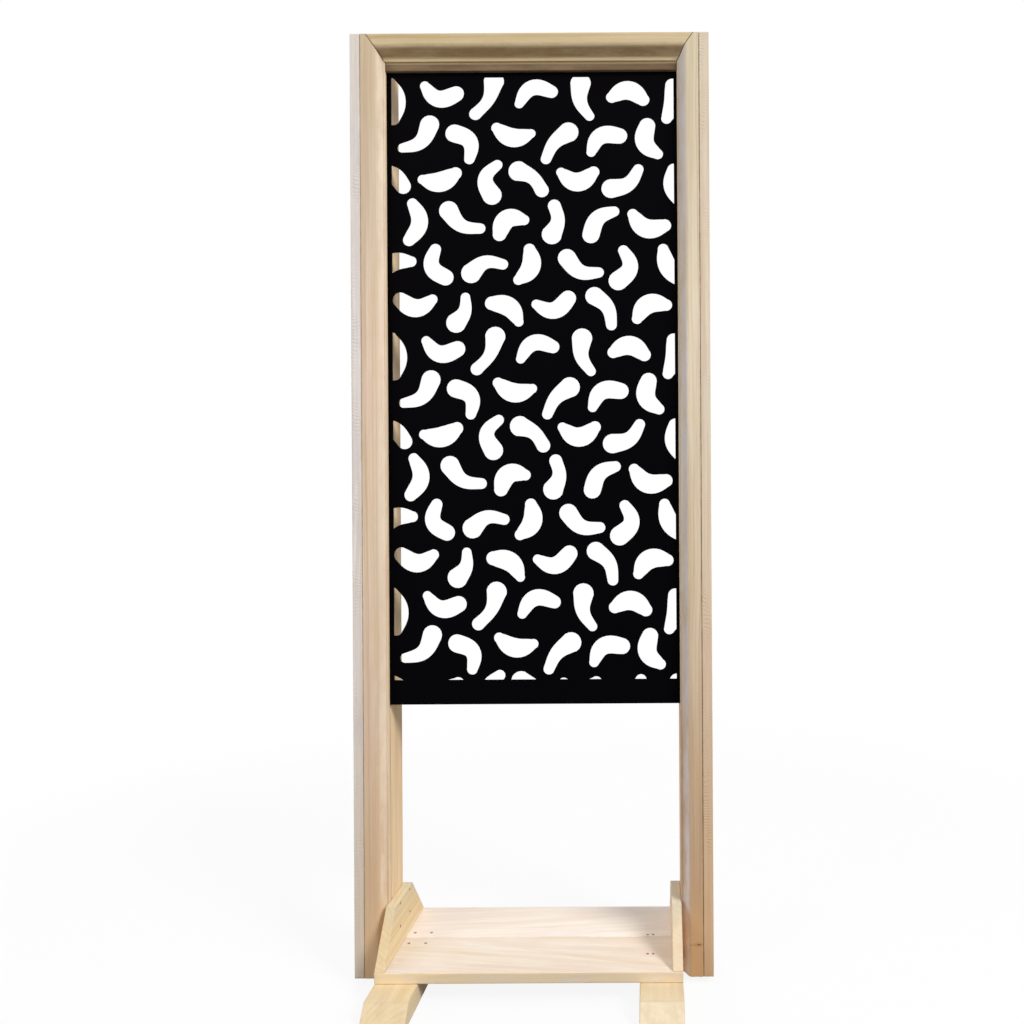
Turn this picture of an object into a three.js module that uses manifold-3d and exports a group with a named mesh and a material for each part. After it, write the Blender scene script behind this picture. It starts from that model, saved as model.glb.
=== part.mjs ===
// Free-standing garden privacy screen: a grooved timber frame holding a black metal
// panel with cut-outs, on a two-board shelf with cheeks and two feet.
// Millimetres. Origin on the ground under the middle of the frame, +X to the right,
// +Z up, and the front looks towards -Y.
import * as THREE from "three";
import { mergeVertices } from "three/addons/utils/BufferGeometryUtils.js";
import Module from "manifold-3d";

const wasm = await Module();
wasm.setup();

// ---- driving dimensions ----
const seatGap = 0.3; // between pieces that touch
const jointGap = 0.3; // between the two shelf boards

const panelWidth = 600;
const panelHeight = 1200;
const panelThick = 3;
const panelBottom = 500; // height of the panel's lower edge above the ground
const panelTuck = 33; // part of the panel inside each groove
const panelShift = 1; // the panel sits this far right of the middle
const windowSide = 40; // plain border at each side of the cut-outs
const windowEnd = 45; // plain border above and below them

const grooveClear = 0.5; // between the panel and each side of its groove
const grooveLip = 6; // wood in front of the groove
const stileWall = 4.5; // wood left beyond the groove
const postFoot = 12; // height of the posts' lower ends
const frameDepth = 90;
const headTuck = 38; // part of the panel inside the head's groove
const headWall = 17.5; // wood left above that groove
const headDepth = 18; // the head rail is shallower than the posts
const sideBoardThick = 18;

const mouldingThick = 19;
const bevelRun = 10;
const bevelDrop = 16;
const filletRun = 4;
const arris = 2.5; // softened corner where the flat meets the bevel
const headMouldingHeight = 41;
const mitreStart = 10; // the mitre leaves the top edge this far in from the outer corner

const shelfThick = 19;
const shelfFront = 59; // reach of the shelf in front of the frame
const shelfBoardDepth = 109; // each of the two boards

const cheekThick = 18;
const cheekHeight = 85;

const footHeight = 38;
const footWidth = 75;
const footLand = 44; // level part of a foot in front of the shelf
const footBevel = 30; // sloping end beyond it

const nailHead = 5.6;
const nailShank = 2.8;
const nailLength = 45;
const nailHeadThick = 1.2;
const pinHead = 4.4;
const pinShank = 2.2;
const pinLength = 25;
const screwHead = 8;
const screwShank = 4.4;
const screwCone = 3.5;
const boardScrewLength = 42;
const footScrewLength = 88;
const headScrewLength = 78;
const holeClear = 0.3; // round a fastener in its hole

// ---- sizes that follow ----
const clearWidth = panelWidth - 2 * panelTuck; // between the two stiles
const inner = clearWidth / 2; // inner face of a stile
const grooveDepth = panelTuck + Math.abs(panelShift) + grooveClear;
const grooveWidth = panelThick + 2 * grooveClear;
const stileWidth = grooveDepth + stileWall;
const stileOuter = inner + stileWidth;
const boardInner = stileOuter + seatGap;
const boardOuter = boardInner + sideBoardThick;
const frontFace = -frameDepth / 2;
const rearFace = frameDepth / 2;
const mouldingBack = frontFace + mouldingThick;
const stileFront = mouldingBack + seatGap;
const grooveFront = stileFront + grooveLip;
const grooveBack = grooveFront + grooveWidth;
const panelFront = grooveFront + grooveClear;
const panelTop = panelBottom + panelHeight;
const headBottom = panelTop - headTuck;
const headHeight = headTuck + grooveClear + headWall;
const frameTop = headBottom + headHeight;
const behindGroove = grooveBack + (rearFace - grooveBack) / 2;
const headBack = stileFront + headDepth;
const mitreRun = stileWidth - mitreStart;
const mitreLength = Math.hypot(mitreRun, headMouldingHeight);

const shelfBottom = footHeight + seatGap;
const shelfTop = shelfBottom + shelfThick;
const shelfEnd = inner - seatGap;
const shelfY0 = frontFace - shelfFront;
const shelfJoint = shelfY0 + shelfBoardDepth;
const rearBoardY0 = shelfJoint + jointGap;
const shelfY1 = rearBoardY0 + shelfBoardDepth;
const cheekBottom = shelfTop + seatGap;
const cheekTop = cheekBottom + cheekHeight;
const cheekInner = shelfEnd - cheekThick;
const footTip = shelfY0 - footLand - footBevel;

const nailSides = 8;
const screwSides = 10;

// ---- materials ----
const wood = (r, g, b) => new THREE.MeshStandardMaterial({
  color: new THREE.Color().setRGB(r / 255, g / 255, b / 255, THREE.SRGBColorSpace),
  roughness: 0.75, metalness: 0,
});
const frameWood = wood(204, 180, 146);
const boardWood = wood(210, 190, 160);
const shelfWood = wood(236, 214, 180);
const footWood = wood(226, 202, 162);
const blackCoat = new THREE.MeshStandardMaterial({ color: 0x0a090a, roughness: 0.5, metalness: 0.2 });
const steel = new THREE.MeshStandardMaterial({ color: 0x6f6c66, roughness: 0.45, metalness: 0.9 });

// ---- solids ----
// A closed geometry with one point at each corner, and such a geometry as a solid.
function merge(geometry) {
  const bare = geometry.clone();
  bare.deleteAttribute("normal");
  bare.deleteAttribute("uv");
  return mergeVertices(bare, 1e-4);
}

function toSolid(geometry) {
  const merged = geometry.hasAttribute("normal") ? merge(geometry) : geometry;
  return new wasm.Manifold(new wasm.Mesh({
    numProp: 3,
    vertProperties: new Float32Array(merged.attributes.position.array),
    triVerts: new Uint32Array(merged.index.array),
  }));
}

function toGeometry(solid) {
  const mesh = solid.getMesh();
  const geometry = new THREE.BufferGeometry();
  geometry.setAttribute("position", new THREE.BufferAttribute(mesh.vertProperties, 3));
  geometry.setIndex(new THREE.BufferAttribute(mesh.triVerts, 1));
  return geometry;
}

function block(x0, x1, y0, y1, z0, z1) {
  const geometry = new THREE.BoxGeometry(x1 - x0, y1 - y0, z1 - z0);
  geometry.translate((x0 + x1) / 2, (y0 + y1) / 2, (z0 + z1) / 2);
  return geometry;
}

// An outline in two directions, given a thickness along the third.
function prism(points, thick) {
  const shape = new THREE.Shape(points.map(([a, b]) => new THREE.Vector2(a, b)));
  return new THREE.ExtrudeGeometry(shape, { depth: thick, bevelEnabled: false, steps: 1 });
}

// Outline drawn in Y and Z, from x0 to x1.
function prismAlongX(points, x0, x1) {
  const geometry = prism(points, x1 - x0);
  geometry.applyMatrix4(new THREE.Matrix4().set(0, 0, 1, x0, 1, 0, 0, 0, 0, 1, 0, 0, 0, 0, 0, 1));
  return geometry;
}

// Outline drawn in X and Y, from z0 to z1.
function prismAlongZ(points, z0, z1) {
  const geometry = prism(points, z1 - z0);
  geometry.translate(0, 0, z0);
  return geometry;
}

// ---- fasteners ----
// A fastener's profile turned round the Y axis: the head's face at 0, the shank towards -Y.
// grow widens it all round, for its hole, and over lengthens it out of the head's face.
function turned(profile, sides, grow, over) {
  const tip = profile[profile.length - 1];
  const points = [new THREE.Vector2(0, -tip[1] - grow)];
  for (let i = profile.length - 1; i >= 0; i--) {
    const drop = i === profile.length - 1 ? grow : 0;
    points.push(new THREE.Vector2(profile[i][0] + grow, -profile[i][1] - drop));
  }
  if (over > 0) points.push(new THREE.Vector2(profile[0][0] + grow, over));
  points.push(new THREE.Vector2(0, over));
  return merge(new THREE.LatheGeometry(points, sides));
}

const nailProfile = (head, shank, length) => [
  [head / 2, 0], [head / 2, nailHeadThick], [shank / 2, nailHeadThick + (head - shank) / 2],
  [shank / 2, length],
];
const screwProfile = (length) => [
  [screwHead / 2, 0], [screwShank / 2, screwCone], [screwShank / 2, length],
];

// Sets a turned piece with its head's face at a place and its shank along a direction.
function driven(geometry, place, direction) {
  const turn = new THREE.Quaternion().setFromUnitVectors(
    new THREE.Vector3(0, -1, 0), new THREE.Vector3(...direction));
  geometry.applyQuaternion(turn);
  geometry.translate(...place);
  return geometry;
}

const fasteners = [];
function addFastener(name, profile, sides, place, direction) {
  const overHead = 3; // the hole runs this far out of the surface
  fasteners.push({
    name,
    geometry: driven(turned(profile, sides, 0, 0), place, direction),
    hole: driven(turned(profile, sides, holeClear, overHead), place, direction),
  });
}

const headSink = 0.2; // heads lie this far under the surface

// Nails down through the shelf into the feet, two for each board at each end. They lie
// unevenly, so each end has its own places, counted from the cheek and from the joint.
function placeShelfNails() {
  const ends = [
    { side: -1, fromCheek: [12, 43], front: 18, rear: 17 },
    { side: 1, fromCheek: [34, 44], front: 55, rear: 6 },
  ];
  let count = 0;
  for (const end of ends) {
    for (const y of [shelfJoint - end.front, rearBoardY0 + end.rear]) {
      for (const away of end.fromCheek) {
        count += 1;
        addFastener(`shelf_nail_${count}`, nailProfile(nailHead, nailShank, nailLength), nailSides,
          [end.side * (cheekInner - away), y, shelfTop - headSink], [0, 0, -1]);
      }
    }
  }
}

// Nails through each cheek into its stile: two into the lip before the groove and two
// into the thick part behind it.
function placeCheekNails() {
  const low = 37;
  const fromTop = 6;
  const fromRear = 16;
  let count = 0;
  for (const side of [-1, 1]) {
    for (const y of [stileFront + grooveLip / 2, rearFace - fromRear]) {
      for (const up of [low, cheekHeight - fromTop]) {
        count += 1;
        addFastener(`cheek_nail_${count}`, nailProfile(nailHead, nailShank, nailLength), nailSides,
          [side * (cheekInner + headSink), y, cheekBottom + up], [side, 0, 0]);
      }
    }
  }
}

// Pins through the stile's front lip and the panel's hidden edge, under the moulding.
function placePanelPins() {
  const inset = 40;
  const heights = [panelBottom + inset, panelBottom + panelHeight / 2, panelTop - inset];
  const across = inner + panelTuck / 2;
  let count = 0;
  for (const side of [-1, 1]) {
    for (const z of heights) {
      count += 1;
      addFastener(`panel_pin_${count}`, nailProfile(pinHead, pinShank, pinLength), nailSides,
        [side * across, stileFront + headSink, z], [0, 1, 0]);
    }
  }
}

// Screws through each stile into the head rail's ends, under the side board: one behind
// the groove and one in the wood above it.
function placeHeadScrews() {
  const fromBottom = 12;
  const y = (grooveBack + headBack) / 2;
  let count = 0;
  for (const side of [-1, 1]) {
    for (const z of [headBottom + fromBottom, frameTop - headWall / 2]) {
      count += 1;
      addFastener(`head_screw_${count}`, screwProfile(headScrewLength), screwSides,
        [side * (stileOuter - headSink), y, z], [-side, 0, 0]);
    }
  }
}

// Screws through each side board into its stile.
function placeBoardScrews() {
  const postLength = frameTop - postFoot;
  let count = 0;
  for (const side of [-1, 1]) {
    for (const share of [0.18, 0.5, 0.82]) {
      count += 1;
      addFastener(`board_screw_${count}`, screwProfile(boardScrewLength), screwSides,
        [side * (boardOuter - headSink), behindGroove, postFoot + share * postLength], [-side, 0, 0]);
    }
  }
}

// Long screws through each side board and stile into the foot's side. The front one keeps
// its distance from the shelf's joint, and so from the nails beside it.
function placeFootScrews() {
  const beforeJoint = 5.35;
  const pastMiddle = 15; // of the wood behind the groove
  const z = (postFoot + footHeight) / 2;
  let count = 0;
  for (const side of [-1, 1]) {
    for (const y of [shelfJoint - beforeJoint, behindGroove + pastMiddle]) {
      count += 1;
      addFastener(`foot_screw_${count}`, screwProfile(footScrewLength), screwSides,
        [side * (boardOuter - headSink), y, z], [-side, 0, 0]);
    }
  }
}

// Cuts every fastener's hole that reaches the piece.
function drilled(geometry) {
  let solid = toSolid(geometry);
  geometry.computeBoundingBox();
  for (const { hole } of fasteners) {
    hole.computeBoundingBox();
    if (hole.boundingBox.intersectsBox(geometry.boundingBox)) solid = solid.subtract(toSolid(hole));
  }
  return toGeometry(solid);
}

// ---- cut-outs ----
// Each motif is a bent bar: place across and down, heading and length of its spine, the
// bend along it, and the radius at its start, middle and end. Degrees and millimetres.
const tileDown = 470;
const bendFrom = 0.15; // share of the spine before and after the bend
const motifs = [
  [6, 42, 85, 70, 40, 10, 17, 12],
  [88, 32, 15, 70, -80, 9, 16, 15],
  [176, 40, 120, 70, 35, 19, 12, 12],
  [262, 28, -20, 76, 85, 9, 15, 12],
  [352, 44, 75, 66, -45, 19, 13, 9],
  [436, 32, 5, 66, 75, 11, 18, 12],
  [516, 48, 100, 64, 30, 13, 16, 10],
  [50, 114, -40, 72, -60, 9, 14, 18],
  [138, 122, 60, 66, 85, 17, 15, 10],
  [224, 106, 10, 70, -60, 10, 18, 9],
  [302, 124, 130, 66, -35, 19, 13, 10],
  [389, 116, -30, 70, 80, 9, 16, 15],
  [473, 120, 70, 64, -75, 15, 17, 10],
  [-2, 182, 25, 64, 60, 12, 15, 14],
  [88, 188, 170, 66, 50, 12, 19, 9],
  [180, 188, 100, 68, -85, 10, 14, 18],
  [258, 188, 40, 58, 40, 19, 13, 13],
  [342, 186, 0, 72, -85, 9, 18, 11],
  [433, 194, 145, 66, 55, 10, 14, 18],
  [520, 202, 80, 60, -50, 13, 15, 12],
  [44, 266, 95, 76, 70, 10, 16, 12],
  [130, 268, 30, 72, -55, 18, 13, 10],
  [216, 268, 150, 64, -90, 10, 18, 13],
  [302, 264, 95, 56, 50, 12, 13, 19],
  [383, 265, -45, 66, 60, 16, 15, 10],
  [470, 273, 20, 72, -75, 10, 18, 12],
  [4, 344, -20, 66, 50, 14, 17, 10],
  [80, 346, 70, 66, -85, 11, 15, 15],
  [173, 346, -15, 66, 60, 19, 13, 10],
  [250, 348, 110, 66, 65, 11, 18, 10],
  [348, 354, 25, 70, -60, 17, 14, 10],
  [431, 350, 100, 68, 85, 10, 15, 18],
  [512, 350, 60, 70, -40, 10, 17, 12],
  [44, 418, 0, 68, -75, 14, 17, 10],
  [130, 430, 110, 52, 45, 9, 13, 19],
  [212, 428, 35, 66, 60, 13, 18, 9],
  [296, 423, -10, 70, -80, 9, 16, 15],
  [393, 428, 60, 66, 50, 17, 13, 10],
  [474, 426, -25, 68, 75, 10, 18, 11],
];

// The outline of one motif, as points across and down.
function motifOutline([across, down, heading, length, bend, r0, r1, r2]) {
  const stationCount = 7;
  const capCount = 4;
  const rad = Math.PI / 180;
  const spine = [];
  let x = 0;
  let y = 0;
  let before = 0;
  for (let i = 0; i < stationCount; i++) {
    const t = i / (stationCount - 1);
    const s = Math.min(Math.max((t - bendFrom) / (1 - 2 * bendFrom), 0), 1);
    const turn = (heading + bend * (s * s * (3 - 2 * s) - 0.5)) * rad;
    if (i > 0) {
      const step = length / (stationCount - 1);
      x += Math.cos((before + turn) / 2) * step;
      y += Math.sin((before + turn) / 2) * step;
    }
    before = turn;
    const r = (1 - t) * (1 - 2 * t) * r0 + 4 * t * (1 - t) * r1 + t * (2 * t - 1) * r2;
    spine.push({ x, y, turn, r });
  }
  const cx = spine.reduce((sum, p) => sum + p.x, 0) / stationCount;
  const cy = spine.reduce((sum, p) => sum + p.y, 0) / stationCount;
  const points = [];
  const put = (p, angle) => points.push([
    across + p.x - cx + Math.cos(angle) * p.r, down + p.y - cy + Math.sin(angle) * p.r,
  ]);
  for (const p of spine) put(p, p.turn - Math.PI / 2);
  const last = spine[stationCount - 1];
  for (let k = 1; k < capCount; k++) put(last, last.turn - Math.PI / 2 + (Math.PI * k) / capCount);
  for (const p of [...spine].reverse()) put(p, p.turn + Math.PI / 2);
  for (let k = 1; k < capCount; k++) put(spine[0], spine[0].turn + Math.PI / 2 + (Math.PI * k) / capCount);
  return points;
}

function makePanel() {
  const x0 = -panelWidth / 2 + panelShift;
  const windowX = x0 + windowSide;
  const windowTop = panelTop - windowEnd;
  const windowWidth = panelWidth - 2 * windowSide;
  const windowHeight = panelHeight - 2 * windowEnd;
  const cutDeep = 2; // the cutters run out of both faces by this
  const tileWide = 520; // the motifs' own width, repeated across a wider window
  let cutters = null;
  for (let column = 0; column * tileWide < windowWidth + 40; column++) {
    for (let row = -1; row * tileDown < windowHeight + 40; row++) {
      for (const motif of motifs) {
        const outline = motifOutline(motif).map(([across, down]) => [
          windowX + column * tileWide + across, windowTop - row * tileDown - down,
        ]);
        const xs = outline.map((p) => p[0]);
        const zs = outline.map((p) => p[1]);
        const inWindow = Math.max(...xs) > windowX + 3 && Math.min(...xs) < windowX + windowWidth - 3 &&
          Math.max(...zs) > windowTop - windowHeight + 3 && Math.min(...zs) < windowTop - 3;
        if (!inWindow) continue;
        const geometry = prism(outline, panelThick + 2 * cutDeep);
        geometry.rotateX(Math.PI / 2);
        geometry.translate(0, panelFront + panelThick + cutDeep, 0);
        const cutter = toSolid(geometry);
        cutters = cutters ? cutters.add(cutter) : cutter;
      }
    }
  }
  const openWindow = toSolid(block(windowX, windowX + windowWidth, panelFront - 2 * cutDeep,
    panelFront + panelThick + 2 * cutDeep, windowTop - windowHeight, windowTop));
  const plate = toSolid(block(x0, x0 + panelWidth, panelFront, panelFront + panelThick,
    panelBottom, panelTop));
  return drilled(toGeometry(plate.subtract(cutters.intersect(openWindow))));
}

// ---- frame ----
function makeStile(side) {
  const bar = toSolid(block(inner, stileOuter, stileFront, rearFace, postFoot, frameTop));
  const groove = toSolid(block(inner - 1, inner + grooveDepth, grooveFront, grooveBack,
    postFoot - 1, frameTop + 1));
  const geometry = toGeometry(bar.subtract(groove));
  return drilled(side < 0 ? mirrored(geometry) : geometry);
}

// The same solid on the other side of the middle.
function mirrored(geometry) {
  const copy = geometry.clone();
  copy.applyMatrix4(new THREE.Matrix4().makeScale(-1, 1, 1));
  const index = copy.index.array;
  for (let i = 0; i < index.length; i += 3) [index[i], index[i + 1]] = [index[i + 1], index[i]];
  return copy;
}

function makeHeadRail() {
  const end = inner - seatGap;
  const bar = toSolid(block(-end, end, stileFront, headBack, headBottom, frameTop));
  const groove = toSolid(block(-end - 1, end + 1, grooveFront, grooveBack,
    headBottom - 1, panelTop + grooveClear));
  return drilled(toGeometry(bar.subtract(groove)));
}

// The moulding's section: along it across the face from the outer edge to the opening,
// and backwards from the front face. Flat, softened corner, bevel, then a narrow fillet.
function mouldingSection() {
  const flat = stileWidth - bevelRun - filletRun;
  const along = Math.hypot(bevelRun, bevelDrop);
  const soft = Math.min(arris, flat / 2, along / 2);
  return [
    [0, 0],
    [flat - soft, 0],
    [flat + (soft * 0.25 * bevelRun) / along - soft * 0.25, soft * 0.25 * (bevelDrop / along)],
    [flat + (soft * bevelRun) / along, (soft * bevelDrop) / along],
    [flat + bevelRun, bevelDrop],
    [stileWidth, bevelDrop],
    [stileWidth, mouldingThick],
    [0, mouldingThick],
  ];
}

// A wedge that keeps one side of the mitre at the upper corner on the right. The mitre
// runs from the top edge to the inner lower corner of the head moulding.
function mitreKeep(upper) {
  const far = 3 * frameTop;
  const up = [mitreRun / mitreLength, headMouldingHeight / mitreLength];
  const side = upper ? 1 : -1;
  const at = (along, out) => [
    stileOuter - mitreStart + up[0] * along - up[1] * out * side,
    frameTop + up[1] * along + up[0] * out * side,
  ];
  const gap = seatGap / 2;
  const [high, low, away] = [at(far, gap), at(-far, gap), at(0, far)];
  const geometry = prism(upper ? [high, away, low] : [high, low, away], frameDepth * 2);
  geometry.rotateX(Math.PI / 2);
  geometry.translate(0, frameDepth, 0);
  return toSolid(geometry);
}

function makeSideMoulding(side) {
  const outline = mouldingSection().map(([across, back]) => [stileOuter - across, frontFace + back]);
  const bar = toSolid(prismAlongZ(outline.reverse(), postFoot, frameTop));
  const geometry = toGeometry(bar.intersect(mitreKeep(false)));
  return side < 0 ? mirrored(geometry) : geometry;
}

// The head's section is the side's, stretched so that both meet on the mitre, and its
// upper edge is cut level with the frame's top.
function makeHeadMoulding() {
  const stretch = headMouldingHeight / mitreRun;
  const outline = mouldingSection().map(([across, back]) => [
    frontFace + back, frameTop - Math.max(0, across - mitreStart) * stretch]);
  const bar = toSolid(prismAlongX(outline.reverse(), -stileOuter, stileOuter));
  const right = mitreKeep(true);
  const left = toSolid(mirrored(toGeometry(right)));
  return toGeometry(bar.intersect(right).intersect(left));
}

function makeSideBoard(side) {
  return drilled(side < 0
    ? block(-boardOuter, -boardInner, frontFace, rearFace, postFoot, frameTop)
    : block(boardInner, boardOuter, frontFace, rearFace, postFoot, frameTop));
}

// ---- shelf and feet ----
function makeShelfBoard(y0, y1) {
  return drilled(block(-shelfEnd, shelfEnd, y0, y1, shelfBottom, shelfTop));
}

function makeCheek(side) {
  const outline = [
    [shelfY0, cheekBottom], [shelfY1, cheekBottom], [rearFace, cheekTop], [frontFace, cheekTop],
  ];
  return drilled(side < 0
    ? prismAlongX(outline, -shelfEnd, -cheekInner)
    : prismAlongX(outline, cheekInner, shelfEnd));
}

function makeFoot(side) {
  const land = footTip + footBevel;
  const outline = [[footTip, 0], [-footTip, 0], [-land, footHeight], [land, footHeight]];
  const edge = inner - seatGap;
  return drilled(side < 0
    ? prismAlongX(outline, -edge, -edge + footWidth)
    : prismAlongX(outline, edge - footWidth, edge));
}

// ---- the screen ----
const screen = new THREE.Group();
function add(name, geometry, material) {
  const mesh = new THREE.Mesh(geometry, material);
  mesh.name = name;
  screen.add(mesh);
}

placeShelfNails();
placeCheekNails();
placePanelPins();
placeHeadScrews();
placeBoardScrews();
placeFootScrews();

add("screen_panel", makePanel(), blackCoat);
for (const [label, side] of [["left", -1], ["right", 1]]) {
  add(`${label}_stile`, makeStile(side), frameWood);
  add(`${label}_moulding`, makeSideMoulding(side), frameWood);
  add(`${label}_side_board`, makeSideBoard(side), boardWood);
  add(`${label}_cheek`, makeCheek(side), shelfWood);
  add(`${label}_foot`, makeFoot(side), footWood);
}
add("head_rail", makeHeadRail(), frameWood);
add("head_moulding", makeHeadMoulding(), frameWood);
add("shelf_front_board", makeShelfBoard(shelfY0, shelfJoint), shelfWood);
add("shelf_rear_board", makeShelfBoard(rearBoardY0, shelfY1), shelfWood);
for (const { name, geometry } of fasteners) add(name, geometry, steel);

export default screen;
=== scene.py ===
# Looks of a free-standing garden privacy screen: pine frame, black cut-out metal panel,
# low shelf with cheeks, and two feet. Metres, front towards -Y.
import math

import bpy
import numpy as np
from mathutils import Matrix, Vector
from mathutils.geometry import delaunay_2d_cdt


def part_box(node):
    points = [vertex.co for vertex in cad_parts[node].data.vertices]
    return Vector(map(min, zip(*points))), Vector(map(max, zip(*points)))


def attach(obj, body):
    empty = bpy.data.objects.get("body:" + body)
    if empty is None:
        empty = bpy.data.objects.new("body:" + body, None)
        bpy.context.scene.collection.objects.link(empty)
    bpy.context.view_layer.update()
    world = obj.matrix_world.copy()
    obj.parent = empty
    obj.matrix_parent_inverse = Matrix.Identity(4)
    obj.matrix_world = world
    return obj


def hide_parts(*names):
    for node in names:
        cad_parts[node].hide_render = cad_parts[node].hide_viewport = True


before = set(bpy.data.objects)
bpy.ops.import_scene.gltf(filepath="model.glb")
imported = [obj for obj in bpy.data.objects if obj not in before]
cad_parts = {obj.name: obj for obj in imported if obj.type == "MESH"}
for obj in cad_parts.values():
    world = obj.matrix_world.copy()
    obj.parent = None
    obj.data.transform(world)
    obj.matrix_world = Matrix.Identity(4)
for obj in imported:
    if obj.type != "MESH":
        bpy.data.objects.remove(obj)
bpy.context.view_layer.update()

mm = 0.001
print("frame loaded:", len(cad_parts), "nodes")


# helpers for meshes
def fromSrgb(r, g, b):
    # 0 to 255 screen values to the linear colour that a shader takes
    c = np.array([r, g, b]) / 255.0
    lin = np.where(c <= 0.04045, c / 12.92, ((c + 0.055) / 1.055) ** 2.4)
    return (float(lin[0]), float(lin[1]), float(lin[2]), 1.0)


def makeMesh(name, points, faces, wear=None, sharpAt=38.0):
    mesh = bpy.data.meshes.new(name)
    mesh.from_pydata(points.tolist(), [], faces)
    if wear is not None:
        layer = mesh.attributes.new("edgeWear", "FLOAT", "POINT")
        layer.data.foreach_set("value", np.asarray(wear, dtype=np.float32))
    mesh.validate()
    mesh.shade_smooth()
    mesh.set_sharp_from_angle(angle=math.radians(sharpAt))
    piece = bpy.data.objects.new(name, mesh)
    bpy.context.scene.collection.objects.link(piece)
    return piece


def gridFaces(rings, count, turned=False):
    # quads between rings of count points each, closed round; turned swaps their winding
    j, i = np.meshgrid(np.arange(rings - 1), np.arange(count), indexing="ij")
    k = (i + 1) % count
    quad = [j * count + i, j * count + k, (j + 1) * count + k, (j + 1) * count + i]
    if turned:
        quad = quad[:1] + quad[:0:-1]
    return np.stack(quad, -1).reshape(-1, 4).tolist()


def fit(piece, node, material, slotName):
    piece.data.materials.append(material)
    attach(piece, "root")
    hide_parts(node)


ringShape = {"arcSteps": 4, "wing": 2.2 * mm, "wingShare": 0.22, "leastRadius": 0.03 * mm,
             "straightArc": 0.8 * mm}


def roundedRing(corners, radii, inset):
    # A polygon moved inwards by inset, each corner a fillet: its centre lies one radius
    # inwards from both edges, and the arc turns by the corner's own angle. A wing is a
    # point on the edge just before or after the arc, so that shading stays flat between.
    c = np.asarray(corners, float)
    n = len(c)
    u = c - np.roll(c, 1, axis=0)
    lengthIn = np.linalg.norm(u, axis=1)
    u /= lengthIn[:, None]
    v = np.roll(u, -1, axis=0)
    lengthOut = np.roll(lengthIn, -1)
    nu = np.stack([-u[:, 1], u[:, 0]], 1)
    nv = np.stack([-v[:, 1], v[:, 0]], 1)
    turn = np.arctan2(u[:, 0] * v[:, 1] - u[:, 1] * v[:, 0], (u * v).sum(1))
    side = np.where(turn >= 0, 1.0, -1.0)
    moved = c + inset * (nu + nv) / (1 + (nu * nv).sum(1))[:, None]
    rho = np.maximum(np.asarray(radii) - inset * side, ringShape["leastRadius"])
    back = rho * np.tan(np.abs(turn) / 2)
    first = moved - back[:, None] * u
    centre = first + (side * rho)[:, None] * nu
    k = np.linspace(0, 1, ringShape["arcSteps"] + 1)
    angle = turn[:, None] * k[None, :]
    arm = first - centre
    arcX = centre[:, 0, None] + arm[:, 0, None] * np.cos(angle) - arm[:, 1, None] * np.sin(angle)
    arcY = centre[:, 1, None] + arm[:, 0, None] * np.sin(angle) + arm[:, 1, None] * np.cos(angle)
    straight = np.abs(turn) < 1e-6  # a point on a straight edge has its arc laid out along it
    along = moved[:, None, :] + (k - 0.5)[None, :, None] * ringShape["straightArc"] * u[:, None, :]
    arcX = np.where(straight[:, None], along[..., 0], arcX)
    arcY = np.where(straight[:, None], along[..., 1], arcY)
    first = np.stack([arcX[:, 0], arcY[:, 0]], 1)
    last = np.stack([arcX[:, -1], arcY[:, -1]], 1)
    wings = [np.minimum(ringShape["wing"], ringShape["wingShare"] * e) for e in (lengthIn, lengthOut)]
    before = first - wings[0][:, None] * u
    after = last + wings[1][:, None] * v
    xs = np.concatenate([before[:, :1], arcX, after[:, :1]], 1)
    ys = np.concatenate([before[:, 1:], arcY, after[:, 1:]], 1)
    onArc = np.sin(np.pi * np.clip(k, 0.12, 0.88))
    worn = (side > 0) & ~straight
    wear = np.concatenate([np.zeros((n, 1)), np.where(worn[:, None], onArc[None, :], 0.0),
                           np.zeros((n, 1))], 1)
    return np.stack([xs.ravel(), ys.ravel()], 1), wear.ravel()


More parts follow.
